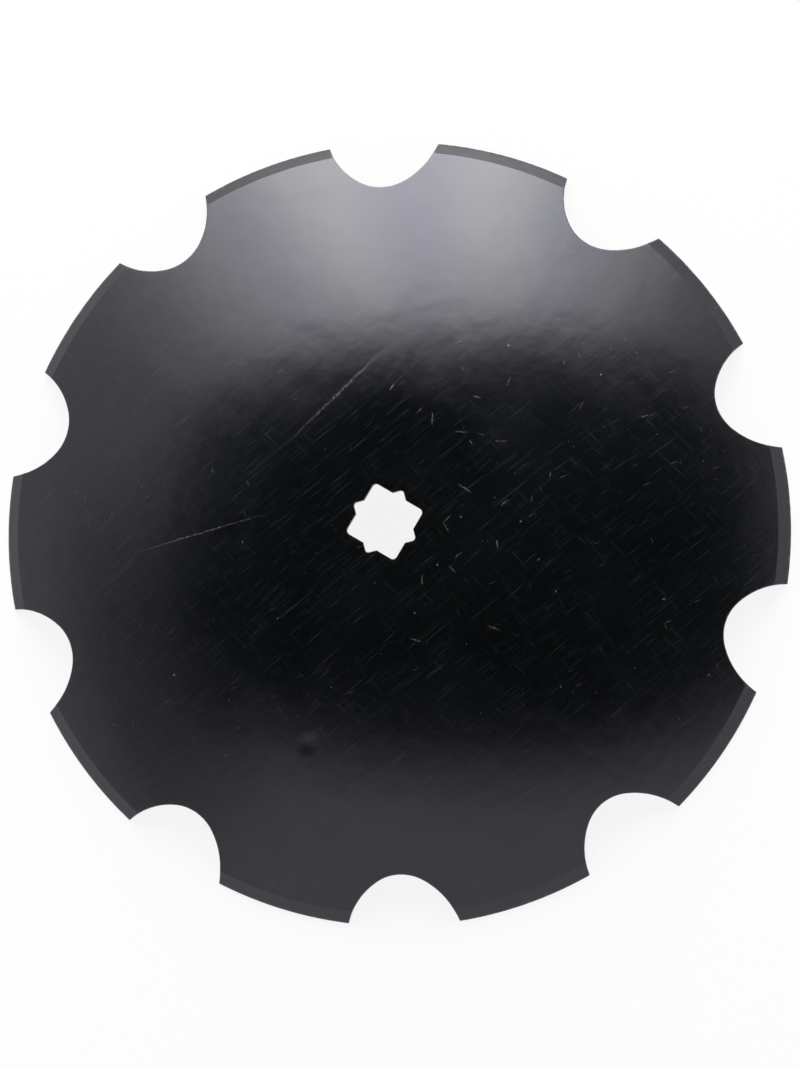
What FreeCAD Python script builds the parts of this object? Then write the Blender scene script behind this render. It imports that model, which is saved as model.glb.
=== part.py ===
"""Notched harrow disc blade: one pressed steel plate, dished, with a bevelled and notched rim.

The blade is modelled the way it is made. A flat-centred dish is revolved with its edge already
bevelled, one notch is punched through the rim and patterned round the axis, and the axle hole is
punched as two squares, one turned on the other, which gives the eight-pointed star.

Frame: millimetres, +Z along the axle towards the convex side. The origin is on the axis, in the
plane that the rim rests on when the blade lies with its hollow side down.
"""
import FreeCAD, Part
import math
import os

import Sketcher
from FreeCAD import Rotation, Vector

# Driving dimensions: alias, value, meaning. Lengths in millimetres, angles in degrees.
DIMENSIONS = [
    ("disc_diameter", 457.2, "outer diameter over the tooth tips"),
    ("plate_thickness", 4.0, "plate, the same at the centre and in the dish"),
    ("dish_radius", 520.0, "spherical radius of the convex face"),
    ("flat_diameter", 110.0, "flat centre that the spacer spools clamp"),
    ("blend_radius", 150.0, "bend between the flat centre and the dish, convex face"),
    ("bevel_width", 10.0, "ground bevel, measured down its slope, on the convex face"),
    ("edge_land", 1.2, "blunt edge left below the bevel"),
    ("notch_count", 10.0, "notches round the rim"),
    ("notch_depth", 30.0, "rim to the bottom of a notch, along a radius"),
    ("notch_mouth", 64.0, "width of a notch where it opens through the rim"),
    ("notch_bottom_radius", 25.3, "arc at the bottom of a notch"),
    ("notch_flank_radius", 43.0, "arc up each side of a notch"),
    ("notch_start_angle", -3.8, "turn of the first notch from the wide square's side"),
    ("axle_clearance", 0.3, "play on every side of a square axle"),
    ("wide_axle", 31.75, "square axle that fits the wide square of the hole"),
    ("narrow_axle", 28.575, "square axle that fits the narrow square of the hole"),
    ("wide_corner_radius", 2.5, "corner of the wide square"),
    ("narrow_corner_radius", 2.0, "corner of the narrow square"),
    ("star_angle", 45.0, "turn between the two squares"),
    ("cut_overrun", 10.0, "how far a cutting profile reaches past the rim"),
]

# The names that a sketch constraint gives to the ends and centre of a curve, and to the axes.
START, END, CENTRE = range(1, 4)
X_AXIS, Y_AXIS = range(-1, -3, -1)
ORIGIN = (-1, 1)
FULL_TURN = 360.0

size = {alias: value for alias, value, meaning in DIMENSIONS}


def dimension_sheet(doc):
    """Put the driving dimensions in a spreadsheet, one aliased cell each."""
    sheet = doc.addObject("Spreadsheet::Sheet", "dimensions")
    for row, (alias, value, meaning) in enumerate(DIMENSIONS, start=1):
        sheet.set(f"A{row}", alias)
        sheet.set(f"B{row}", str(value))
        sheet.set(f"C{row}", meaning)
        sheet.setAlias(f"B{row}", alias)
    return sheet


def origin_feature(body, role):
    """Return the body's own origin plane or axis that plays the given role."""
    return next(item for item in body.Origin.OriginFeatures if item.Role == role)


def new_sketch(body, name, role):
    """Start a sketch on one of the body's origin planes."""
    sketch = body.newObject("Sketcher::SketchObject", name)
    sketch.AttachmentSupport = [(origin_feature(body, role), "")]
    sketch.MapMode = "FlatFace"
    return sketch


def point(x, y):
    """Give a sketch point as a vector."""
    return Vector(x, y, 0)


def arc(centre, start, end):
    """Make the arc that runs anticlockwise round a centre from one point to another."""
    circle = Part.Circle(centre, Vector(0, 0, 1), start.distanceToPoint(centre))
    first = math.atan2(start.y - centre.y, start.x - centre.x)
    last = math.atan2(end.y - centre.y, end.x - centre.x)
    return Part.ArcOfCircle(circle, first, last)


def fix(sketch, kind, *places):
    """Add one geometric constraint."""
    return sketch.addConstraint(Sketcher.Constraint(kind, *places))


def drive(sketch, name, formula, kind, *places):
    """Add one dimension, name it and bind it to the sheet."""
    index = sketch.addConstraint(Sketcher.Constraint(kind, *places))
    sketch.renameConstraint(index, name)
    sketch.setExpression(f"Constraints.{name}", formula)


def dish_section(body):
    """Draw half the section of the dished plate, from the axis out to the bevelled edge."""
    sketch = new_sketch(body, "dish_section", "XZ_Plane")

    # The edge stands square to the plate, so it lies on one ray from the centre of the sphere.
    rim = size["disc_diameter"] / 2
    under_radius = size["dish_radius"] - size["plate_thickness"]
    edge_ray = math.asin(rim / (under_radius + size["edge_land"]))
    dish = point(0, -under_radius * math.cos(edge_ray))
    edge_low = dish + point(under_radius * math.sin(edge_ray), under_radius * math.cos(edge_ray))
    edge_high = dish + (edge_low - dish) * ((under_radius + size["edge_land"]) / under_radius)

    # The bevel is a chord from the edge up to the convex face: the sides of a triangle are known.
    to_edge = under_radius + size["edge_land"]
    spread = math.acos(
        (size["dish_radius"] ** 2 + to_edge ** 2 - size["bevel_width"] ** 2)
        / (2 * size["dish_radius"] * to_edge)
    )
    bevel_ray = edge_ray - spread
    bevel_top = dish + point(math.sin(bevel_ray), math.cos(bevel_ray)) * size["dish_radius"]

    # The blend touches the sphere from inside, with its centre under the rim of the flat.
    flat = size["flat_diameter"] / 2
    between_centres = size["dish_radius"] - size["blend_radius"]
    blend = dish + point(flat, math.sqrt(between_centres ** 2 - flat ** 2))
    outward = (blend - dish) / between_centres
    top_flat_end = blend + point(0, size["blend_radius"])
    top_blend_end = blend + outward * size["blend_radius"]
    under_blend_end = top_blend_end - outward * size["plate_thickness"]
    under_flat_end = top_flat_end - point(0, size["plate_thickness"])

    top_flat = sketch.addGeometry(Part.LineSegment(point(0, top_flat_end.y), top_flat_end))
    top_blend = sketch.addGeometry(arc(blend, top_blend_end, top_flat_end))
    top_dish = sketch.addGeometry(arc(dish, bevel_top, top_blend_end))
    bevel = sketch.addGeometry(Part.LineSegment(bevel_top, edge_high))
    land = sketch.addGeometry(Part.LineSegment(edge_high, edge_low))
    under_dish = sketch.addGeometry(arc(dish, edge_low, under_blend_end))
    under_blend = sketch.addGeometry(arc(blend, under_blend_end, under_flat_end))
    under_flat = sketch.addGeometry(Part.LineSegment(under_flat_end, point(0, under_flat_end.y)))
    axis = sketch.addGeometry(
        Part.LineSegment(point(0, under_flat_end.y), point(0, top_flat_end.y))
    )

    # The convex face runs smoothly from the flat through the blend into the sphere.
    fix(sketch, "Horizontal", top_flat)
    fix(sketch, "Tangent", top_flat, END, top_blend, END)
    fix(sketch, "Tangent", top_blend, START, top_dish, END)
    fix(sketch, "Coincident", top_dish, START, bevel, START)
    fix(sketch, "Coincident", bevel, END, land, START)
    # The hollow face keeps the same centres, so the plate has one thickness everywhere.
    fix(sketch, "Tangent", under_dish, END, under_blend, START)
    fix(sketch, "Tangent", under_blend, END, under_flat, START)
    fix(sketch, "Horizontal", under_flat)
    fix(sketch, "Coincident", under_dish, CENTRE, top_dish, CENTRE)
    fix(sketch, "Coincident", under_blend, CENTRE, top_blend, CENTRE)
    fix(sketch, "Coincident", under_flat, END, axis, START)
    fix(sketch, "Coincident", axis, END, top_flat, START)
    fix(sketch, "PointOnObject", top_dish, CENTRE, Y_AXIS)
    fix(sketch, "PointOnObject", axis, START, Y_AXIS)
    fix(sketch, "Vertical", axis)
    fix(sketch, "PointOnObject", land, END, X_AXIS)
    fix(sketch, "Perpendicular", land, END, under_dish, START)

    drive(sketch, "rim", "dimensions.disc_diameter / 2",
          "DistanceX", *ORIGIN, land, START, rim)
    drive(sketch, "flat", "dimensions.flat_diameter / 2",
          "DistanceX", *ORIGIN, top_flat, END, flat)
    drive(sketch, "dish", "dimensions.dish_radius",
          "Radius", top_dish, size["dish_radius"])
    drive(sketch, "under_dish", "dimensions.dish_radius - dimensions.plate_thickness",
          "Radius", under_dish, under_radius)
    drive(sketch, "blend", "dimensions.blend_radius",
          "Radius", top_blend, size["blend_radius"])
    drive(sketch, "land", "dimensions.edge_land",
          "Distance", land, size["edge_land"])
    drive(sketch, "bevel", "dimensions.bevel_width",
          "Distance", bevel, size["bevel_width"])
    return sketch


def notch_profile(body):
    """Draw one notch about the sketch's X axis: a bottom arc between two flatter flank arcs."""
    sketch = new_sketch(body, "notch_profile", "XY_Plane")
    sketch.AttachmentOffset = FreeCAD.Placement(
        Vector(0, 0, 0), Rotation(Vector(0, 0, 1), size["notch_start_angle"])
    )
    sketch.setExpression("AttachmentOffset.Rotation.Angle", "dimensions.notch_start_angle")

    rim = size["disc_diameter"] / 2
    half_mouth = size["notch_mouth"] / 2
    outside = rim + size["cut_overrun"]
    bottom = point(rim - size["notch_depth"] + size["notch_bottom_radius"], 0)
    corner = point(math.sqrt(rim ** 2 - half_mouth ** 2), half_mouth)

    # The flank arc passes through the mouth's corner and touches the bottom arc from outside
    # it, so its centre is one corner of a triangle whose three sides are known.
    reach = size["notch_flank_radius"] - size["notch_bottom_radius"]
    span = corner - bottom
    cosine = (reach ** 2 + span.Length ** 2 - size["notch_flank_radius"] ** 2) / (
        2 * reach * span.Length
    )
    heading = math.atan2(span.y, span.x) - math.acos(cosine)
    toward_flank = point(math.cos(heading), math.sin(heading))
    flank = bottom + toward_flank * reach
    touch = bottom - toward_flank * size["notch_bottom_radius"]

    def mirrored(place):
        return point(place.x, -place.y)

    bottom_arc = sketch.addGeometry(arc(bottom, touch, mirrored(touch)))
    upper_arc = sketch.addGeometry(arc(flank, corner, touch))
    lower_arc = sketch.addGeometry(arc(mirrored(flank), mirrored(touch), mirrored(corner)))
    upper_exit = sketch.addGeometry(Part.LineSegment(corner, point(outside, half_mouth)))
    lower_exit = sketch.addGeometry(
        Part.LineSegment(mirrored(corner), point(outside, -half_mouth))
    )
    closing = sketch.addGeometry(
        Part.LineSegment(point(outside, half_mouth), point(outside, -half_mouth))
    )
    rim_circle = sketch.addGeometry(Part.Circle(point(0, 0), Vector(0, 0, 1), rim), True)

    fix(sketch, "Coincident", rim_circle, CENTRE, *ORIGIN)
    fix(sketch, "PointOnObject", bottom_arc, CENTRE, X_AXIS)
    fix(sketch, "Tangent", bottom_arc, START, upper_arc, END)
    fix(sketch, "Tangent", bottom_arc, END, lower_arc, START)
    fix(sketch, "Coincident", upper_arc, START, upper_exit, START)
    fix(sketch, "Coincident", lower_arc, END, lower_exit, START)
    fix(sketch, "Coincident", upper_exit, END, closing, START)
    fix(sketch, "Coincident", lower_exit, END, closing, END)
    fix(sketch, "Horizontal", upper_exit)
    fix(sketch, "Horizontal", lower_exit)
    fix(sketch, "Vertical", closing)
    fix(sketch, "PointOnObject", upper_arc, START, rim_circle)
    fix(sketch, "Symmetric", upper_arc, START, lower_arc, END, X_AXIS)
    fix(sketch, "Equal", upper_arc, lower_arc)

    drive(sketch, "rim", "dimensions.disc_diameter / 2", "Radius", rim_circle, rim)
    drive(sketch, "bottom", "dimensions.notch_bottom_radius",
          "Radius", bottom_arc, size["notch_bottom_radius"])
    drive(sketch, "flank", "dimensions.notch_flank_radius",
          "Radius", upper_arc, size["notch_flank_radius"])
    drive(sketch, "mouth", "dimensions.notch_mouth",
          "DistanceY", lower_arc, END, upper_arc, START, size["notch_mouth"])
    drive(sketch, "bottom_place",
          "dimensions.disc_diameter / 2 - dimensions.notch_depth + dimensions.notch_bottom_radius",
          "DistanceX", *ORIGIN, bottom_arc, CENTRE, bottom.x)
    drive(sketch, "outside", "dimensions.disc_diameter / 2 + dimensions.cut_overrun",
          "DistanceX", *ORIGIN, closing, START, outside)
    return sketch


def square_profile(body, name, axle, corner_radius, turn):
    """Draw the square clearance hole for one axle size, with rounded corners, about the axis."""
    sketch = new_sketch(body, name, "XY_Plane")
    side = size[axle] + 2 * size["axle_clearance"]
    radius = size[corner_radius]
    half = side / 2
    inner = half - radius

    # Each side runs anticlockwise, and each corner arc joins it to the next side.
    sides = []
    corners = []
    for quarter in range(4):
        spin = Rotation(Vector(0, 0, 1), 90 * quarter)
        start = spin.multVec(point(half, -inner))
        end = spin.multVec(point(half, inner))
        centre = spin.multVec(point(inner, inner))
        after = spin.multVec(point(inner, half))
        sides.append(sketch.addGeometry(Part.LineSegment(start, end)))
        corners.append(sketch.addGeometry(arc(centre, end, after)))
    for quarter in range(4):
        following = sides[(quarter + 1) % 4]
        fix(sketch, "Tangent", sides[quarter], END, corners[quarter], START)
        fix(sketch, "Tangent", corners[quarter], END, following, START)
    fix(sketch, "Vertical", sides[0])
    fix(sketch, "Horizontal", sides[1])
    fix(sketch, "Vertical", sides[2])
    fix(sketch, "Horizontal", sides[3])
    for corner in corners[1:]:
        fix(sketch, "Equal", corners[0], corner)
    fix(sketch, "Equal", sides[0], sides[1])
    fix(sketch, "Symmetric", sides[0], START, sides[2], START, *ORIGIN)

    drive(sketch, "side", f"dimensions.{axle} + 2 * dimensions.axle_clearance",
          "DistanceX", sides[2], START, sides[0], START, side)
    drive(sketch, "corner", f"dimensions.{corner_radius}", "Radius", corners[0], radius)
    if turn:
        sketch.AttachmentOffset = FreeCAD.Placement(
            Vector(0, 0, 0), Rotation(Vector(0, 0, 1), size[turn])
        )
        sketch.setExpression("AttachmentOffset.Rotation.Angle", f"dimensions.{turn}")
    return sketch


def punch(body, name, profile):
    """Punch a profile up through the whole plate."""
    pocket = body.newObject("PartDesign::Pocket", name)
    pocket.Profile = profile
    pocket.Type = "ThroughAll"
    pocket.Reversed = True
    profile.Visibility = False
    return pocket


def expect_less(doc, name, before, body):
    """Recompute, and stop if the last cut took nothing away."""
    doc.recompute()
    after = body.Shape.Volume
    if not after < before:
        raise RuntimeError(f"{name} removed no material")
    print(f"{name}: {before / 1000:.2f} -> {after / 1000:.2f} cm3")
    return after


def disc_blade(doc):
    """Build the blade as one body."""
    body = doc.addObject("PartDesign::Body", "disc_blade")
    body.Label = "disc_blade"

    section = dish_section(body)
    dish = body.newObject("PartDesign::Revolution", "dished_plate")
    dish.Profile = section
    dish.ReferenceAxis = (section, ["V_Axis"])
    dish.Angle = FULL_TURN
    body.Tip = dish
    doc.recompute()
    volume = body.Shape.Volume

    notch = punch(body, "notch", notch_profile(body))
    body.Tip = notch
    volume = expect_less(doc, "first notch", volume, body)

    notches = body.newObject("PartDesign::PolarPattern", "notches")
    notches.Originals = [notch]
    notches.Axis = (origin_feature(body, "Z_Axis"), [""])
    notches.Angle = FULL_TURN
    notches.setExpression("Occurrences", "dimensions.notch_count")
    body.Tip = notches
    volume = expect_less(doc, "all notches", volume, body)

    wide = punch(
        body, "wide_hole",
        square_profile(body, "wide_square", "wide_axle", "wide_corner_radius", None)
    )
    body.Tip = wide
    volume = expect_less(doc, "wide square", volume, body)

    narrow = punch(
        body, "narrow_hole",
        square_profile(body, "narrow_square", "narrow_axle", "narrow_corner_radius", "star_angle")
    )
    body.Tip = narrow
    expect_less(doc, "narrow square", volume, body)
    return body


def check(doc, body):
    """Stop unless every object recomputed and the blade is one sound solid."""
    for item in doc.Objects:
        if "Invalid" in item.State or "Error" in item.State:
            raise RuntimeError(f"{item.Label} did not recompute: {item.State}")
    for item in doc.Objects:
        if item.isDerivedFrom("Sketcher::SketchObject"):
            freedom = item.solve()
            if freedom != 0:
                raise RuntimeError(f"{item.Label} does not solve")
            if not item.FullyConstrained:
                raise RuntimeError(f"{item.Label} is not fully constrained")
    shape = body.Shape
    if shape.isNull() or not shape.isValid() or len(shape.Solids) != 1:
        raise RuntimeError("the blade is not one valid solid")


def main():
    doc = FreeCAD.newDocument("harrow_disc_blade")
    dimension_sheet(doc)
    doc.recompute()
    body = disc_blade(doc)
    check(doc, body)

    os.makedirs("parts", exist_ok=True)
    body.Shape.exportStep(f"parts/{body.Label}.step")

    box = body.Shape.BoundBox
    print(f"diameter {box.XLength:.2f} x {box.YLength:.2f} mm, height {box.ZLength:.2f} mm")
    print(f"lowest point {box.ZMin:.4f} mm, volume {body.Shape.Volume / 1000:.2f} cm3")
    print(f"faces {len(body.Shape.Faces)}, edges {len(body.Shape.Edges)}")


main()
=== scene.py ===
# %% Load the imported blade
import math

import bpy
import numpy as np
from mathutils import Matrix, Vector


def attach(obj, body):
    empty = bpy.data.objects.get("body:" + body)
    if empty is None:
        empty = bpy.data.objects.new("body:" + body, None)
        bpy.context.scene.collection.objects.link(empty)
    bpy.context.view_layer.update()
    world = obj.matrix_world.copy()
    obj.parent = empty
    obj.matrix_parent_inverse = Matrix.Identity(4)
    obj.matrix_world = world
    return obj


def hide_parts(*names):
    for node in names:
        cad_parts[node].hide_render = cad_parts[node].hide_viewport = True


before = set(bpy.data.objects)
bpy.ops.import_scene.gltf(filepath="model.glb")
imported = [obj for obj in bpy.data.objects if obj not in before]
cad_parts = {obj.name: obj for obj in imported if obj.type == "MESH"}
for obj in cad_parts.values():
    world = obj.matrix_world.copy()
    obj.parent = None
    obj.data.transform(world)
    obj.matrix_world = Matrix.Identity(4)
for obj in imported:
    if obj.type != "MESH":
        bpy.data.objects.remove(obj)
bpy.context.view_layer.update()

# %% [markdown]
# # A notched disc blade
# The real thing is one steel plate: blanked, notched, pressed to a dish, ground to a bevel round the
# rim and dipped in black paint. There is only one piece, so the likeness rests on two things: a
# surface that is smooth enough to reflect a studio cleanly, and paint that has been handled.
#
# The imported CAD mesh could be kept, but its flat triangles break up a reflection. The blade is
# therefore worked out again with numpy as one closed grid, from the same sizes as the CAD.

# %% Sizes of the blade, in millimetres
MM = 0.001

rim_radius = 228.6
plate = 4.0
dish_radius = 520.0
flat_radius = 55.0
blend_radius = 150.0
bevel_width = 10.0
edge_land = 1.2

notch_count = 10
notch_depth = 30.0
notch_half_mouth = 32.0
notch_bottom_radius = 25.3
notch_flank_radius = 43.0
notch_start = math.radians(-3.8)

wide_side, wide_corner = 32.35, 2.5
narrow_side, narrow_corner = 29.175, 2.0
star_turn = math.radians(45)

# %% [markdown]
# ## The section
# Every height on the blade depends only on the distance from its axis. The convex face is a flat
# centre, a gentle bend, a sphere, and then the straight slope of the bevel. The hollow face has the
# same centres one plate thickness further in. Two functions of the radius are all that is needed,
# which is shorter and smoother than a chain of modelled rings.

# %% Section heights
under_radius = dish_radius - plate
edge_ray = math.asin(rim_radius / (under_radius + edge_land))
sphere_z = -under_radius * math.cos(edge_ray)
land_low = under_radius * math.sin(edge_ray)
land_high_z = sphere_z + (under_radius + edge_land) * math.cos(edge_ray)

# The bevel's upper end, by the law of cosines in the triangle sphere centre, edge, bevel top.
edge_reach = under_radius + edge_land
bevel_ray = edge_ray - math.acos(
    (dish_radius**2 + edge_reach**2 - bevel_width**2) / (2 * dish_radius * edge_reach)
)
bevel_start = dish_radius * math.sin(bevel_ray)
bevel_start_z = sphere_z + dish_radius * math.cos(bevel_ray)

blend_z = sphere_z + math.sqrt((dish_radius - blend_radius) ** 2 - flat_radius**2)
crown_z = blend_z + blend_radius


def pressed_height(radius, sphere, bend):
    """Height of a pressed face: flat, then the bend's circle, then the sphere's circle.

    On a circle the height is its centre's height plus the root of radius squared minus the
    horizontal distance squared. The bend ends where its circle touches the sphere's.
    """
    bend_end = flat_radius * sphere / (sphere - bend)
    on_sphere = sphere_z + np.sqrt(sphere**2 - radius**2)
    on_bend = blend_z + np.sqrt(np.maximum(bend**2 - (radius - flat_radius) ** 2, 0))
    height = np.where(radius < bend_end, on_bend, on_sphere)
    return np.where(radius < flat_radius, blend_z + bend, height)


def convex_height(radius):
    """Height of the convex face, with a straight line in place of the sphere on the bevel."""
    slope = (land_high_z - bevel_start_z) / (rim_radius - bevel_start)
    on_bevel = bevel_start_z + slope * (radius - bevel_start)
    return np.where(
        radius > bevel_start, on_bevel, pressed_height(radius, dish_radius, blend_radius)
    )


def hollow_height(radius):
    """Height of the hollow face, one plate thickness inside the convex one."""
    return pressed_height(
        np.minimum(radius, land_low), under_radius, blend_radius - plate
    )


print(f"crown {crown_z:.2f} mm, bevel from radius {bevel_start:.2f} to {rim_radius:.2f} mm")

# %% [markdown]
# ## The two outlines
# The blade has an outer edge, with its notches, and an inner edge, the axle hole. Both are star
# shaped in the mathematical sense: each ray from the axis meets them once. So each can be a
# function that gives the distance along a ray, built from where a ray meets a circle or a line.

# %% Distance to the edges along a ray


def near_crossing(angle, x, y, radius):
    """Distance along a ray at which it first meets a circle with its centre at (x, y).

    It is the centre's distance along the ray, less the root of radius squared minus the
    centre's distance beside the ray squared.
    """
    along = x * np.cos(angle) + y * np.sin(angle)
    beside = x * np.sin(angle) - y * np.cos(angle)
    return along - np.sqrt(np.maximum(radius**2 - beside**2, 0))


# The flank's circle touches the bottom circle and passes through the mouth's corner, so its
# centre is one corner of a triangle with known sides.
bottom_x = rim_radius - notch_depth + notch_bottom_radius
mouth_x = math.sqrt(rim_radius**2 - notch_half_mouth**2)
reach = notch_flank_radius - notch_bottom_radius
span = math.hypot(mouth_x - bottom_x, notch_half_mouth)
heading = math.atan2(notch_half_mouth, mouth_x - bottom_x) - math.acos(
    (reach**2 + span**2 - notch_flank_radius**2) / (2 * reach * span)
)
flank_x = bottom_x + reach * math.cos(heading)
flank_y = reach * math.sin(heading)
touch_angle = math.atan2(
    -notch_bottom_radius * math.sin(heading),
    bottom_x - notch_bottom_radius * math.cos(heading),
)
mouth_angle = math.atan2(notch_half_mouth, mouth_x)


def rim_distance(angle):
    """Distance to the notched edge: the rim, or the notch's flank arc, or its bottom arc."""
    pitch = 2 * math.pi / notch_count
    turned = np.abs((angle - notch_start + pitch / 2) % pitch - pitch / 2)
    bottom = near_crossing(turned, bottom_x, 0, notch_bottom_radius)
    flank = near_crossing(turned, flank_x, flank_y, notch_flank_radius)
    notch = np.where(turned < touch_angle, bottom, flank)
    return np.where(turned < mouth_angle, np.minimum(notch, rim_radius), rim_radius)


def square_distance(angle, side, corner):
    """Distance to a square with rounded corners: half the side over the cosine, or a corner arc."""
    half, inner = side / 2, side / 2 - corner
    turned = np.abs((angle + math.pi / 4) % (math.pi / 2) - math.pi / 4)
    beside = inner * (np.cos(turned) - np.sin(turned))
    along = inner * (np.cos(turned) + np.sin(turned))
    arc = along + np.sqrt(np.maximum(corner**2 - beside**2, 0))
    return np.where(half * np.tan(turned) < inner, half / np.cos(turned), arc)


def hole_distance(angle):
    """Distance to the axle hole, the outer one of its two squares."""
    wide = square_distance(angle, wide_side, wide_corner)
    narrow = square_distance(angle - star_turn, narrow_side, narrow_corner)
    return np.maximum(wide, narrow)


# %% [markdown]
# ## Even outlines with a normal at every point
# A ray function bunches its points on the notch flanks. Each outline is therefore walked at an even
# step first, blurred by a fraction of a millimetre along its length, which blunts the corners as
# paint and handling do, and then sampled again more closely where it bends.

# %% Outline points


def walk(distance, step, blur):
    """Even steps along an outline, then a Gaussian blur along its length.

    A blur along a closed line is a product in its Fourier series: each wave is multiplied by
    exp(-2 (pi blur frequency) squared).
    """
    angle = np.linspace(0, 2 * math.pi, 144001)
    line = distance(angle) * np.exp(1j * angle)
    length = np.r_[0, np.cumsum(np.abs(np.diff(line)))]
    count = round(length[-1] / step)
    at = np.arange(count) * length[-1] / count
    even = np.interp(at, length, line.real) + 1j * np.interp(at, length, line.imag)
    waves = np.fft.fftfreq(count, step)
    return np.fft.ifft(np.fft.fft(even) * np.exp(-2 * (math.pi * blur * waves) ** 2))


def sample(line, count, finest, coarsest, sagitta):
    """Pick points whose spacing follows the bend: root of 8 times sagitta over curvature."""
    tangent = np.roll(line, -1) - np.roll(line, 1)
    turn = np.angle(np.roll(tangent, -1) / np.roll(tangent, 1))
    curvature = np.abs(turn) / np.abs(tangent)
    spacing = np.sqrt(8 * sagitta / np.maximum(curvature, 1e-9))
    density = 1 / np.clip(spacing, finest, coarsest)
    kernel = np.hanning(41)
    density = np.convolve(np.r_[density[-20:], density, density[:20]], kernel / kernel.sum(), "valid")
    share = np.r_[0, np.cumsum(density)]
    pick = np.interp(np.arange(count) * share[-1] / count, share, np.arange(len(line) + 1))
    closed = np.r_[line, line[0]]
    normal = 1j * tangent / np.abs(tangent)
    normals = np.r_[normal, normal[0]]
    whole = np.arange(len(closed))
    point = np.interp(pick, whole, closed.real) + 1j * np.interp(pick, whole, closed.imag)
    inward = np.interp(pick, whole, normals.real) + 1j * np.interp(pick, whole, normals.imag)
    return point, inward / np.abs(inward)


AROUND = 1040

rim_line, rim_inward = sample(walk(rim_distance, 0.1, 0.35), AROUND, 0.25, 3.2, 0.004)
hole_line, hole_inward = sample(walk(hole_distance, 0.02, 0.15), AROUND, 0.08, 0.25, 0.002)
print(f"rim outline {np.abs(rim_line).min():.2f} to {np.abs(rim_line).max():.2f} mm,",
      f"hole {2 * np.abs(hole_line).min():.2f} to {2 * np.abs(hole_line).max():.2f} mm")

# %% [markdown]
# ## One closed grid
# The rows run once round the section: up the hole's wall, out across the convex face, over the
# edge, back across the hollow face and into the hole again. The columns run round the blade. Both
# ends meet, so the skin is a ring without a seam or a pole. Close rows stand either side of the
# bevel's upper line, which keeps it crisp under smooth shading. Where a notch is deeper than the
# bevel, the same rows squeeze together just inside the notch's edge.

# %% Rows of the grid
edge_round = 0.35
quarter = np.radians([90, 60, 30, 0])
tuck = 0.06  # keeps the smooth rim inside the flats of the CAD mesh
# Each row near the rim: its distance outside the bevel's upper line, and how far it must stay
# inside the edge.
outer_rows = [(-3.5, 8.0), (-1.8, 6.5), (-0.7, 5.2), (-0.2, 4.4), (0.0, 3.8), (0.2, 3.2),
              (1.0, 2.6), (2.5, 2.0), (4.3, 1.3), (5.9, 0.6)]


def ring(line, height):
    """Join plan points and heights into one row of vertices."""
    return np.stack([line.real, line.imag, height], axis=1)


def rounded(line, inward, face, side):
    """A quarter circle from a wall onto a face: in by 1 - sin, off the face by 1 - cos."""
    rows = []
    for turn in quarter:
        moved = line + inward * edge_round * (1 - math.sin(turn))
        rows.append(ring(moved, face(np.abs(moved)) - side * edge_round * (1 - math.cos(turn))))
    return rows


def across(start, end, steps, face):
    """Rows between two plan lines: radius in proportion, bearing eased from one to the other."""
    first, last = np.unwrap(np.angle(start)), np.unwrap(np.angle(end))
    last += 2 * math.pi * np.round((first[0] - last[0]) / (2 * math.pi))
    rows = []
    for share in steps:
        ease = share * share * (3 - 2 * share)
        bearing = first + (last - first) * ease
        radius = np.abs(start) + (np.abs(end) - np.abs(start)) * share
        rows.append(ring(radius * np.exp(1j * bearing), face(radius)))
    return rows


def inside_rim(outside_bevel, squeeze):
    """The rim's bearings at a wanted radius, or a set distance inside the edge if that is less."""
    reach = np.abs(rim_in)
    return rim_in * np.minimum(bevel_start + outside_bevel, reach - squeeze) / reach


hole_in = hole_line - hole_inward * edge_round
rim_line = rim_line + rim_inward * tuck
rim_in = rim_line + rim_inward * edge_round
shelf = inside_rim(*outer_rows[0])
under_rim = rim_line * np.minimum(1, land_low / np.abs(rim_line))
under_rim_in = under_rim + rim_inward * edge_round

rows = rounded(hole_line, -hole_inward, convex_height, 1)
dome_rows, hollow_rows = 45, 22
rows += across(hole_in, shelf, np.linspace(0, 1, dome_rows + 1)[1:], convex_height)
for outside_bevel, squeeze in outer_rows[1:]:
    line = inside_rim(outside_bevel, squeeze)
    rows.append(ring(line, convex_height(np.abs(line))))
rows += rounded(rim_line, rim_inward, convex_height, 1)[::-1]
rows += rounded(under_rim, rim_inward, hollow_height, -1)
rows += across(under_rim_in, hole_in, np.linspace(0, 1, hollow_rows + 2)[1:-1], hollow_height)
rows += rounded(hole_line, -hole_inward, hollow_height, -1)[::-1]
grid = np.array(rows)
print("grid", grid.shape[:2], "triangles", 2 * grid.shape[0] * grid.shape[1])

# %% [markdown]
# ## Press marks
# Plate that has been pressed hot and quenched is never a perfect sphere. It moves by a tenth of a
# millimetre or so, over the width of a hand. That is too little to see as shape, and enough to make
# a reflection's edge wander. Both faces move together, because the plate keeps its thickness, and
# nothing moves at the rim, so the overall size stays.

# %% Slight waviness
rng = np.random.default_rng(18)
wave_height = 0.10


def waviness(x, y):
    """Sum of slanted sine waves, 80 to 220 mm long, each with a random bearing and phase."""
    total = np.zeros_like(x)
    for _ in range(9):
        bearing, phase = rng.uniform(0, 2 * math.pi, 2)
        pitch = rng.uniform(80, 220)
        total += np.sin((x * math.cos(bearing) + y * math.sin(bearing)) * 2 * math.pi / pitch + phase)
    return total / 9


wave = waviness(grid[..., 0], grid[..., 1])
grid[..., 2] -= wave_height * (1 + wave) * np.clip(grid[..., 2] / crown_z, 0, 1)
print(f"waviness {np.ptp(wave) * wave_height:.3f} mm from hollow to crest")

# %% Mesh from the grid


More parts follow.
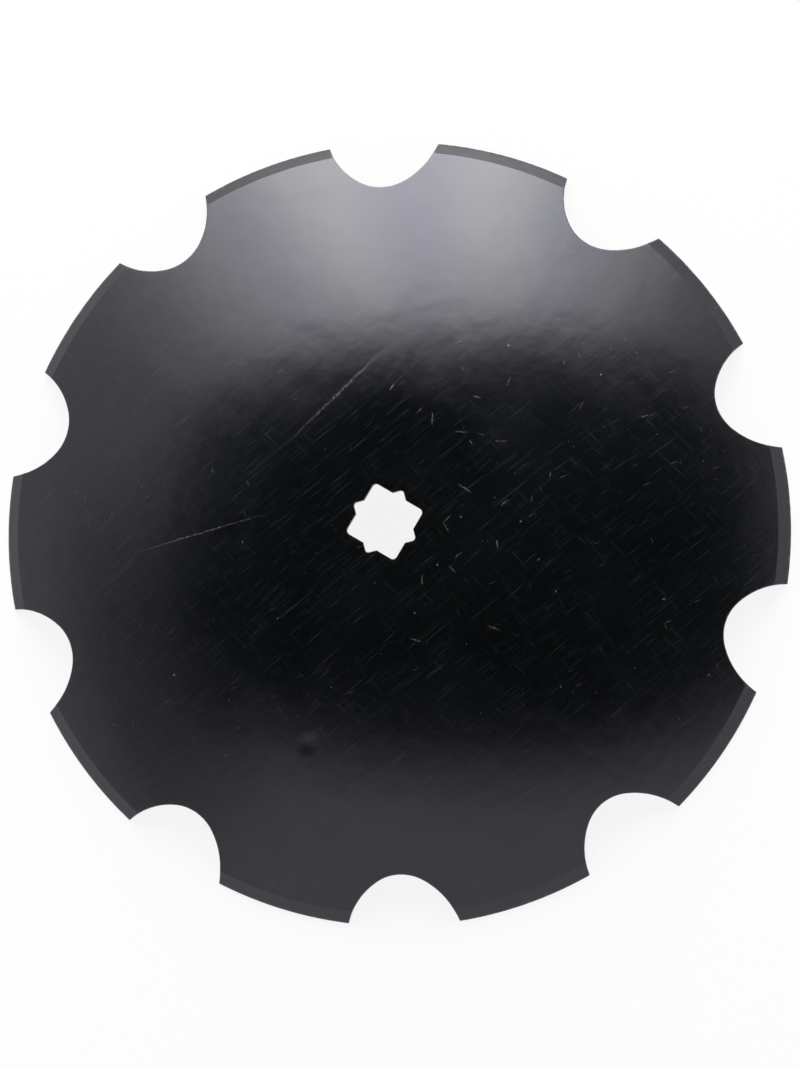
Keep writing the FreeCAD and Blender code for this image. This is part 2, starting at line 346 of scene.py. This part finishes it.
def closed_mesh(name, grid, wear):
    """Make a mesh from a grid whose rows and columns both close on themselves."""
    down, around = grid.shape[:2]
    index = np.arange(down * around).reshape(down, around)
    right, below = np.roll(index, -1, axis=1), np.roll(index, -1, axis=0)
    corner = np.roll(right, -1, axis=0)
    quads = np.stack([index, below, corner, right], axis=-1).reshape(-1, 4)
    mesh = bpy.data.meshes.new(name)
    mesh.from_pydata((grid.reshape(-1, 3) * MM).tolist(), [], quads.tolist())
    mesh.attributes.new("edge_wear", "FLOAT", "POINT").data.foreach_set("value", wear.ravel())
    mesh.shade_smooth()
    mesh.validate()
    piece = bpy.data.objects.new(name, mesh)
    bpy.context.scene.collection.objects.link(piece)
    return piece


def volume(mesh):
    """Signed volume: a sixth of the sum of corner a dot (corner b cross corner c)."""
    mesh.calc_loop_triangles()
    corners = np.empty(len(mesh.loop_triangles) * 3, dtype=np.int32)
    mesh.loop_triangles.foreach_get("vertices", corners)
    points = np.empty(len(mesh.vertices) * 3)
    mesh.vertices.foreach_get("co", points)
    a, b, c = points.reshape(-1, 3)[corners.reshape(-1, 3)].transpose(1, 0, 2)
    return np.einsum("ij,ij->i", a, np.cross(b, c)).sum() / 6


# Wear is full on the rounded edges and fades over the next few rows.
wear = np.zeros(grid.shape[:2])
turn_rows = len(quarter)
outer_index = turn_rows + dome_rows + len(outer_rows) - 1
hole_wear, shoulder_wear = 0.75, 0.5
wear[:turn_rows] = hole_wear
wear[outer_index:outer_index + 2 * turn_rows] = 1
wear[outer_index - 1] = shoulder_wear
wear[-turn_rows:] = hole_wear

blade = closed_mesh("blade", grid, wear)
blade_volume = volume(blade.data)
if blade_volume < 0:
    blade.data.flip_normals()
    blade_volume = -blade_volume
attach(blade, "root")
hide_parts("disc_blade")
print(f"blade volume {blade_volume * 1e6:.1f} cm3, {len(blade.data.polygons)} quads")

# %% [markdown]
# ## Helpers for materials
# Colours are written as the eye reads them, as sRGB hex, and Blender wants them linear. One more
# helper adds any node, with its settings and its links, so a material reads from top to bottom.

# %% Colour and node helpers


def linear(hex_colour):
    """Turn sRGB hex to linear: value over 12.92 when dark, otherwise ((v + 0.055) / 1.055) ^ 2.4."""
    values = [int(hex_colour[i:i + 2], 16) / 255 for i in (1, 3, 5)]
    return [v / 12.92 if v <= 0.04045 else ((v + 0.055) / 1.055) ** 2.4 for v in values] + [1.0]


def add(tree, kind, inputs=None, **settings):
    """Add a node, set its properties, and give each input a value or a link."""
    node = tree.nodes.new(kind)
    for name, value in settings.items():
        setattr(node, name, value)
    for name, value in (inputs or {}).items():
        if isinstance(value, bpy.types.NodeSocket):
            tree.links.new(value, node.inputs[name])
        else:
            node.inputs[name].default_value = value
    return node


def new_material(name):
    """Start an empty material with an output node."""
    material = bpy.data.materials.new(name)
    material.use_nodes = True
    material.node_tree.nodes.clear()
    return material, material.node_tree


# %% [markdown]
# ## Black shop paint on rolled plate
# The blade is dipped or sprayed with a thin black alkyd enamel, straight over the mill surface.
# Alkyd enamel has an IOR near 1.55 and is glossy enough to mirror a room softly, with a slightly
# blue cast. So the base is nearly black, the specular tint is blue-grey, and almost everything the
# eye sees comes from roughness and bump: faint rolling grain, orange peel, and slow unevenness.
#
# Each pattern could be an image, but the handling marks would then have a fixed sharpness. Noise
# in millimetres stays sharp at any distance.

# %% Paint: gloss and ripple
grain_bearing = math.radians(-59.6)
paint, tree = new_material("black_alkyd_enamel_on_rolled_plate")

place = add(tree, "ShaderNodeTexCoord").outputs["Object"]
along_grain = add(tree, "ShaderNodeMapping", {"Vector": place, "Rotation": (0, 0, -grain_bearing)},
                  vector_type="POINT").outputs["Vector"]


def noise(size, detail=3.0, sharpness=0.55, vector=None):
    """Noise whose blobs are about as wide as size, in metres; a 3-vector gives one size per axis."""
    if isinstance(size, tuple):
        vector = add(tree, "ShaderNodeVectorMath", {0: vector or place, 1: tuple(1 / v for v in size)},
                     operation="MULTIPLY").outputs["Vector"]
        size = 1.0
    return add(tree, "ShaderNodeTexNoise", {"Vector": vector or place, "Scale": 1 / size,
                                            "Detail": detail, "Roughness": sharpness}).outputs["Fac"]


def bump(height, depth, normal=None):
    """Raise the surface by a pattern times a depth in metres, on top of an earlier bump."""
    inputs = {"Height": height, "Strength": 1.0, "Distance": depth}
    if normal:
        inputs["Normal"] = normal
    return add(tree, "ShaderNodeBump", inputs).outputs["Normal"]


def limit(value, low, high, to_low=0.0, to_high=1.0):
    """Ease a pattern from one value to another between two thresholds."""
    return add(tree, "ShaderNodeMapRange", {"Value": value, "From Min": low, "From Max": high,
                                            "To Min": to_low, "To Max": to_high},
               interpolation_type="SMOOTHSTEP").outputs["Result"]


# Rolling grain 1.2 mm wide and 45 mm long; ripple from the press about 16 mm across; orange peel
# of 2.5 mm, both drawn a little coarser than real so that they show.
grain = noise((0.045, 0.0012, 0.045), 4.0, 0.6, along_grain)
press_ripple = noise(0.016, 2.0, 0.45)
peel = noise(0.0025, 2.0)
haze = noise(0.045, 5.0, 0.62)

surface = bump(press_ripple, 0.00016)
surface = bump(grain, 0.0000035, surface)
surface = bump(peel, 0.000006, surface)

roughness = limit(haze, 0.30, 0.72, 0.145, 0.205)
roughness = add(tree, "ShaderNodeMath", {0: grain, 1: 0.03, 2: roughness},
                operation="MULTIPLY_ADD").outputs[0]

# %% [markdown]
# ## Handling marks
# Blades are stacked, slid and shipped face to face, so the paint carries marks where another
# blade's edge or a bit of grit has rubbed it. They are pale because scratched enamel scatters
# light. Each is an ellipse about a millimetre wide, broken up by noise. Two long slides are set one
# by one, and the nicks and specks are strewn by a seeded random draw. The countless finer specks
# come from a cell pattern in which only a few cells carry a speck.

# %% Paint: rubs and scratches
fleck = noise(0.0013, 4.0, 0.75)
# A hand never draws a straight line: places wander by up to 0.9 mm, over 5 mm or so.
sway = 0.9
wander = add(tree, "ShaderNodeTexNoise", {"Vector": place, "Scale": 1 / 0.005,
                                          "Detail": 2.0}).outputs["Color"]
wander = add(tree, "ShaderNodeVectorMath", {0: wander, 1: (2 * sway * MM, 2 * sway * MM, 0.0), 2: place},
             operation="MULTIPLY_ADD").outputs["Vector"]


def rub(x, y, length, width, bearing, strength, under=0.0):
    """Mask of one mark: 1 less the distance in a stretched, turned frame, eased, times strength.

    Position, length and width are in millimetres, the bearing in degrees. The greater of this
    mark and the marks under it is handed on.
    """
    turned = add(tree, "ShaderNodeMapping", {
        "Vector": wander, "Location": ((x + sway) * MM, (y + sway) * MM, 0),
        "Rotation": (0, 0, math.radians(bearing)),
        "Scale": (length * MM / 2, width * MM / 2, 1.0)}, vector_type="TEXTURE").outputs["Vector"]
    off = add(tree, "ShaderNodeVectorMath", {0: turned}, operation="LENGTH").outputs["Value"]
    return greater(under, limit(off, 1.0, 0.0, 0.0, strength))


def greater(first, second):
    """The greater of two masks."""
    return add(tree, "ShaderNodeMath", {0: first, 1: second}, operation="MAXIMUM").outputs[0]


# %% Paint: where the marks lie
mark_rng = np.random.default_rng(7)


def strewn(count, middle, spread, lengths, width, strengths):
    """Random marks: a normal scatter round a middle, held off the hole and the rim, any bearing."""
    across_blade = mark_rng.normal(middle, spread, (count, 2))
    away = np.hypot(*across_blade.T)
    across_blade *= (np.clip(away, 35, 200) / away)[:, None]
    sizes = mark_rng.uniform(*lengths, count)
    bearings = mark_rng.uniform(0, 180, count)
    amounts = mark_rng.uniform(*strengths, count)
    widths = np.full(count, width)
    return np.column_stack([across_blade, sizes, widths, bearings, amounts]).tolist()


# Two slides: a thin one to one side of the hole, and a broad rub that crosses the dome.
slides = [(-60, 90, 110, 1.0, 135, 0.5), (50, 60, 110, 2.6, 165, 0.28)]
nicks = strewn(24, (65, -25), 45, (5, 12), 1.2, (0.2, 0.7))
specks = strewn(18, (30, -10), 95, (1.8, 2.8), 1.7, (0.4, 0.8))
placed = 0.0
for mark in slides + nicks + specks:
    placed = rub(*mark, under=placed)
print(f"{len(slides)} slides, {len(nicks)} nicks, {len(specks)} specks")

# %% Paint: fine wear all over


def scattered(cell, share, low, high, vector=None):
    """Specks in a share of the cells of a cell pattern; high is a speck's radius over a cell."""
    scaled = add(tree, "ShaderNodeVectorMath", {0: vector or place, 1: tuple(1 / v for v in cell)},
                 operation="MULTIPLY").outputs["Vector"]
    cells = add(tree, "ShaderNodeTexVoronoi", {"Vector": scaled, "Scale": 1.0})
    chance = add(tree, "ShaderNodeSeparateColor", {"Color": cells.outputs["Color"]}).outputs["Red"]
    chosen = add(tree, "ShaderNodeMath", {0: chance, 1: share}, operation="LESS_THAN").outputs[0]
    spot = limit(cells.outputs["Distance"], high, low)
    return add(tree, "ShaderNodeMath", {0: chosen, 1: spot}, operation="MULTIPLY").outputs[0]


def turned_by(degrees):
    """Object coordinates turned about the axle, for a pattern that runs along another bearing."""
    return add(tree, "ShaderNodeMapping", {"Vector": place, "Rotation": (0, 0, math.radians(degrees))},
               vector_type="POINT").outputs["Vector"]


def scaled_by(mask, amount):
    """A mask at a lower strength."""
    return add(tree, "ShaderNodeMath", {0: mask, 1: amount}, operation="MULTIPLY").outputs[0]


# Dust nibs every 6 mm or so, hairlines 9 mm long on two bearings; hairlines are a tenth of a
# millimetre in reality and are drawn three times as wide.
nibs = scattered((0.006, 0.006, 0.006), 0.28, 0.02, 0.10)
hairlines = scattered((0.020, 0.0030, 0.5), 0.16, 0.04, 0.17, turned_by(35))
cross_lines = scattered((0.016, 0.0032, 0.5), 0.10, 0.04, 0.16, turned_by(-52))
rubbed_area = limit(noise(0.055, 2.0), 0.46, 0.66)
fine = greater(scaled_by(nibs, 0.28), greater(scaled_by(hairlines, 0.16), scaled_by(cross_lines, 0.14)))
fine = add(tree, "ShaderNodeMath", {0: fine, 1: limit(rubbed_area, 0.0, 1.0, 0.35, 1.0)},
           operation="MULTIPLY").outputs[0]

# Wear on the rounded edges, in chips about 3 mm long.
edge = add(tree, "ShaderNodeAttribute", attribute_name="edge_wear").outputs["Fac"]
chips = add(tree, "ShaderNodeMath", {0: edge, 1: noise(0.003, 4.0, 0.6)}, operation="MULTIPLY").outputs[0]
edge_chips = scaled_by(limit(chips, 0.42, 0.66), 0.55)

broken = limit(fleck, 0.40, 0.62, 0.12, 1.0)
marks = add(tree, "ShaderNodeMath", {0: placed, 1: broken}, operation="MULTIPLY").outputs[0]
# Fine scuffing: faint streaks 0.8 mm wide that cross each other.
scuff = limit(noise((0.022, 0.0008, 0.022), 3.0, 0.6, turned_by(20)), 0.56, 0.76, 0.0, 0.07)
cross_scuff = noise((0.018, 0.0008, 0.018), 3.0, 0.6, turned_by(-75))
scuff = greater(scuff, limit(cross_scuff, 0.58, 0.78, 0.0, 0.06))
marks = greater(marks, greater(fine, greater(scuff, edge_chips)))

# %% Paint: shader
colour = add(tree, "ShaderNodeMix", {"Factor": marks, "A": linear("#050708"), "B": linear("#7d7f84")},
             data_type="RGBA").outputs["Result"]
roughness = add(tree, "ShaderNodeMapRange", {"Value": marks, "From Max": 0.5, "To Min": roughness,
                                             "To Max": 0.5}).outputs["Result"]
knock = rub(-130, -25, 17, 15, 0, 1.0)

# The bevel is ground before it is painted: duller, with rings about 0.7 mm apart.
flat_place = add(tree, "ShaderNodeVectorMath", {0: place, 1: (1, 1, 0)},
                 operation="MULTIPLY").outputs["Vector"]
from_axis = add(tree, "ShaderNodeVectorMath", {0: flat_place}, operation="LENGTH").outputs["Value"]
on_bevel = limit(from_axis, (bevel_start - 0.2) * MM, (bevel_start + 0.2) * MM)
ring_place = add(tree, "ShaderNodeCombineXYZ", {"X": scaled_by(from_axis, 60.0)}).outputs["Vector"]
ring_place = add(tree, "ShaderNodeVectorMath", {0: ring_place, 1: flat_place},
                 operation="ADD").outputs["Vector"]
grinding = noise(0.040, 3.0, 0.5, ring_place)
ground = add(tree, "ShaderNodeMath", {0: grinding, 1: 0.10, 2: 0.25}, operation="MULTIPLY_ADD").outputs[0]
roughness = add(tree, "ShaderNodeMix", {"Factor": on_bevel, "A": roughness, "B": ground}).outputs["Result"]
surface = bump(knock, -0.00022, surface)
shader = add(tree, "ShaderNodeBsdfPrincipled", {
    "Base Color": colour, "Roughness": roughness, "Normal": surface, "IOR": 1.56,
    "Specular Tint": (0.86, 0.86, 1.0, 1.0)})
add(tree, "ShaderNodeOutputMaterial", {"Surface": shader.outputs["BSDF"]})
blade.data.materials.append(paint)

# %% [markdown]
# ## Studio
# The blade lies on a plain pale floor, hollow side down, as a plate like this comes to rest, and the
# camera looks down on it. Black gloss shows the room and little else, so the room matters: a
# large soft lamp beyond the far edge, a white world all round, and a dark cloth high over the
# camera that gives the dome its black middle.

# %% Camera
view_tilt = Vector((math.radians(-4.911), math.radians(-5.854), 0))
view_roll = math.radians(59.565)
tilted = Matrix.Rotation(view_tilt.length, 3, view_tilt.normalized())
view_turn = tilted @ Matrix.Rotation(view_roll, 3, "Z")
to_world = view_turn.transposed()
camera_place = to_world @ Vector((3.4, -2.3, 1558.3)) * MM

camera_data = bpy.data.cameras.new("camera")
camera_data.sensor_width = 36.0
camera_data.lens = 90.44
camera = bpy.data.objects.new("camera", camera_data)
camera.matrix_world = Matrix.Translation(camera_place) @ to_world.to_4x4()
bpy.context.scene.collection.objects.link(camera)
bpy.context.scene.camera = camera
print("camera at", tuple(round(v, 3) for v in camera_place), "lens", camera_data.lens, "mm")

# %% Floor


def sheet(name, corners):
    """Make one flat rectangle from its four corners."""
    mesh = bpy.data.meshes.new(name)
    mesh.from_pydata(corners, [], [(0, 1, 2, 3)])
    piece = bpy.data.objects.new(name, mesh)
    bpy.context.scene.collection.objects.link(piece)
    return piece


def seen_rays(tree):
    """1 for a ray of the camera, of a gloss or through glass, which are to find white; else 0."""
    path = add(tree, "ShaderNodeLightPath").outputs
    seen = add(tree, "ShaderNodeMath", {0: path["Is Camera Ray"], 1: path["Is Glossy Ray"]},
               operation="MAXIMUM").outputs[0]
    return add(tree, "ShaderNodeMath", {0: seen, 1: path["Is Transmission Ray"]},
               operation="MAXIMUM").outputs[0]


floor = sheet("floor", [(-6, -6, -0.0003), (6, -6, -0.0003), (6, 6, -0.0003), (-6, 6, -0.0003)])
floor_material, tree = new_material("white_floor")
seen = seen_rays(tree)
lit = add(tree, "ShaderNodeBsdfDiffuse", {"Color": linear("#e8e8e8")}).outputs["BSDF"]
white = add(tree, "ShaderNodeEmission", {"Color": (1, 1, 1, 1), "Strength": 1.0}).outputs["Emission"]
share = add(tree, "ShaderNodeMath", {0: seen, 1: 0.88}, operation="MULTIPLY").outputs[0]
mixed = add(tree, "ShaderNodeMixShader", {0: share, 1: lit, 2: white}).outputs["Shader"]
add(tree, "ShaderNodeOutputMaterial", {"Surface": mixed})
floor.data.materials.append(floor_material)

# %% World
world = bpy.data.worlds.new("studio")
world.use_nodes = True
tree = world.node_tree
tree.nodes.clear()
seen = seen_rays(tree)
strength = add(tree, "ShaderNodeMapRange", {"Value": seen, "To Min": 0.7, "To Max": 1.0}).outputs["Result"]
background = add(tree, "ShaderNodeBackground", {"Color": (1, 1, 1, 1), "Strength": strength})
add(tree, "ShaderNodeOutputWorld", {"Surface": background.outputs["Background"]})
bpy.context.scene.world = world

# %% [markdown]
# ## Cards and a lamp bank
# A blade like this is lit in a shop by a bank of tubes, with dark roof above. Area lamps could do
# it, but their edges would show as hard lines in the gloss. So the cloth, the stand and the lamp
# bank are cards whose darkness or glow fades towards the edge, worked out from their own place.

# %% Cards round the blade
right, far, toward = (to_world @ Vector(axis) for axis in ((1, 0, 0), (0, 1, 0), (0, 0, 1)))


def card(name, corners):
    """A card of the studio, its corners given as right, far and toward the camera, in metres."""
    return sheet(name, [tuple(right * a + far * b + toward * c) for a, b, c in corners])


def math_node(tree, operation, *values):
    """One step of arithmetic on sockets or numbers."""
    return add(tree, "ShaderNodeMath", dict(enumerate(values)), operation=operation).outputs[0]


def measured(tree, axis, vector):
    """How far a place or direction goes along an axis: their dot product."""
    return add(tree, "ShaderNodeVectorMath", {0: vector, 1: axis}, operation="DOT_PRODUCT").outputs["Value"]


def eased(tree, value, low, high, to_low, to_high):
    """Smooth step from one strength to another."""
    return add(tree, "ShaderNodeMapRange", {"Value": value, "From Min": low, "From Max": high,
                                            "To Min": to_low, "To Max": to_high},
               interpolation_type="SMOOTHSTEP").outputs["Result"]


def hang_cloth(tree, piece, material, clear):
    """Dark cloth where clear is 0 and nothing where it is 1; the camera never sees it."""
    unseen = add(tree, "ShaderNodeLightPath").outputs["Is Camera Ray"]
    dark = add(tree, "ShaderNodeBsdfDiffuse", {"Color": (0.01, 0.01, 0.01, 1)}).outputs["BSDF"]
    through = add(tree, "ShaderNodeBsdfTransparent").outputs["BSDF"]
    open_share = math_node(tree, "MAXIMUM", clear, unseen)
    mixed = add(tree, "ShaderNodeMixShader", {0: open_share, 1: dark, 2: through}).outputs["Shader"]
    add(tree, "ShaderNodeOutputMaterial", {"Surface": mixed})
    piece.data.materials.append(material)


# %% Dark cloth over the camera
cloth_height = 3.2
cloth_half = (1.40, 0.875)   # half width and half depth, over its height
cloth_centre = (0.07, 0.148)
reach_x, reach_y = cloth_half[0] * cloth_height * 1.1, cloth_half[1] * cloth_height * 1.1
middle_x, middle_y = cloth_centre[0] * cloth_height, cloth_centre[1] * cloth_height
cloth = card("dark_cloth", [(middle_x + a * reach_x, middle_y + b * reach_y, cloth_height)
                            for a, b in ((-1, -1), (-1, 1), (1, 1), (1, -1))])
cloth_material, tree = new_material("black_cloth_with_soft_edge")
place = add(tree, "ShaderNodeTexCoord").outputs["Object"]
powers = []
for axis, middle, half in zip((right, far), cloth_centre, cloth_half):
    off = math_node(tree, "DIVIDE", measured(tree, axis, place), cloth_height)
    off = math_node(tree, "DIVIDE", math_node(tree, "SUBTRACT", off, middle), half)
    powers.append(math_node(tree, "POWER", math_node(tree, "ABSOLUTE", off), 3.5))
outward = math_node(tree, "POWER", math_node(tree, "ADD", *powers), 1 / 3.5)
hang_cloth(tree, cloth, cloth_material, eased(tree, outward, 0.56, 1.0, 0, 1))

# %% Dark stand to one side
stand_bearing = math.radians(-105)
stand_away = 2.4
stand_far = Vector((math.sin(stand_bearing), math.cos(stand_bearing)))
stand_side = Vector((stand_far.y, -stand_far.x))
stand = card("dark_stand", [(*(stand_far * stand_away + stand_side * a), c)
                            for a, c in ((-2.2, 0.9), (2.2, 0.9), (2.2, 3.1), (-2.2, 3.1))])
stand_material, tree = new_material("black_flag_with_soft_edge")
place = add(tree, "ShaderNodeTexCoord").outputs["Object"]
beside = measured(tree, right * stand_side.x + far * stand_side.y, place)
shade = eased(tree, math_node(tree, "ABSOLUTE", beside), 0.3, 2.1, 0.64, 0.0)
lower_edge = eased(tree, measured(tree, toward, place), 0.9, 1.7, 0.0, 1.0)
clear = math_node(tree, "SUBTRACT", 1.0, math_node(tree, "MULTIPLY", shade, lower_edge))
hang_cloth(tree, stand, stand_material, clear)

# %% Lamp bank beyond the far edge
lamp_away = 3.6
lamp_strength = 8.3
bank = card("lamp_bank", [(a * lamp_away, lamp_away, c * lamp_away)
                          for a, c in ((-1.5, -0.12), (1.5, -0.12), (1.5, 1.9), (-1.5, 1.9))])
bank_material, tree = new_material("diffused_lamp_bank")
place = add(tree, "ShaderNodeTexCoord").outputs["Object"]
heading = add(tree, "ShaderNodeVectorMath", {0: place}, operation="NORMALIZE").outputs["Vector"]
aside, beyond = measured(tree, right, heading), measured(tree, far, heading)
glow = eased(tree, beyond, 0.29, 0.97, 0.0, lamp_strength)
lamp_shift = 0.097      # how far the bank's middle stands to the left, as a share of its distance
off_middle = math_node(tree, "ABSOLUTE", math_node(tree, "ADD", aside, lamp_shift))
narrow = eased(tree, off_middle, 0.10, 0.76, 1.0, 0.0)
# Three upright tubes stand behind the diffuser, a little whiter than the gaps between them.
tube_spacing = 0.46     # over the distance, as the shift is
tube_phase = 4.88
sideways = math_node(tree, "DIVIDE", aside, beyond)
phase = math_node(tree, "MULTIPLY_ADD", sideways, 2 * math.pi / tube_spacing, tube_phase)
tube = math_node(tree, "MULTIPLY_ADD", math_node(tree, "COSINE", phase), 0.5, 0.5)
glow = math_node(tree, "MULTIPLY", math_node(tree, "MULTIPLY", glow, narrow),
                 math_node(tree, "MULTIPLY_ADD", tube, 0.20, 0.90))
unseen = add(tree, "ShaderNodeLightPath").outputs["Is Camera Ray"]
glow = math_node(tree, "MULTIPLY", glow, math_node(tree, "SUBTRACT", 1.0, unseen))
tone = add(tree, "ShaderNodeMix", {"Factor": tube, "A": (0.99, 0.97, 1.0, 1), "B": (1.04, 1.05, 0.93, 1)},
           data_type="RGBA").outputs["Result"]
lit = add(tree, "ShaderNodeEmission", {"Color": tone, "Strength": glow}).outputs["Emission"]
through = add(tree, "ShaderNodeBsdfTransparent").outputs["BSDF"]
both = add(tree, "ShaderNodeAddShader", {0: lit, 1: through}).outputs["Shader"]
add(tree, "ShaderNodeOutputMaterial", {"Surface": both})
bank.data.materials.append(bank_material)

bpy.context.scene.view_settings.view_transform = "Standard"
